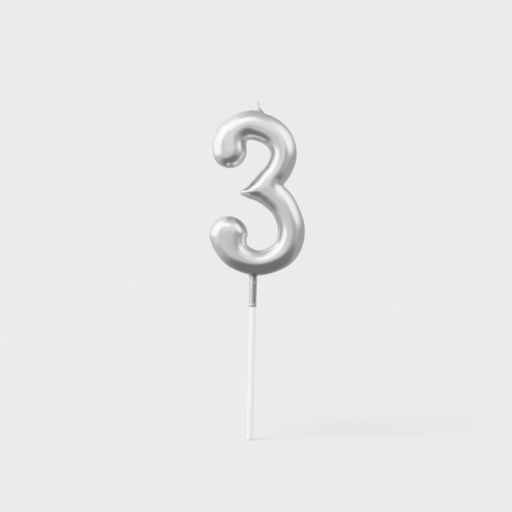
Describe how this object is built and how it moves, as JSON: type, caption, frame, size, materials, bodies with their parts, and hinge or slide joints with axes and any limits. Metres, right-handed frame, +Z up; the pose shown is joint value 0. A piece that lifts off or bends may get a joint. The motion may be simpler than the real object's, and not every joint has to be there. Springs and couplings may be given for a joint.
{
  "type": "number birthday candle",
  "caption": "Birthday candle cast as a rounded numeral three with a silver finish, a short wick on top and a slim white stick below to push into a cake.",
  "frame": {"origin": "centre of the foot of the stick", "axes": "+Z up along the numeral, -Y towards the reader out of the domed front, +X to the reader's right"},
  "size_m": [0.0449, 0.011, 0.1586],
  "materials": {
    "wax": "satin",
    "silver": "satin",
    "white_plastic": "gloss",
    "cotton": "matte"
  },
  "bodies": {
    "root": {"wax_core": "wax", "silver_coat": "silver", "stick": "white_plastic", "wick": "cotton"}
  },
  "joints": []
}
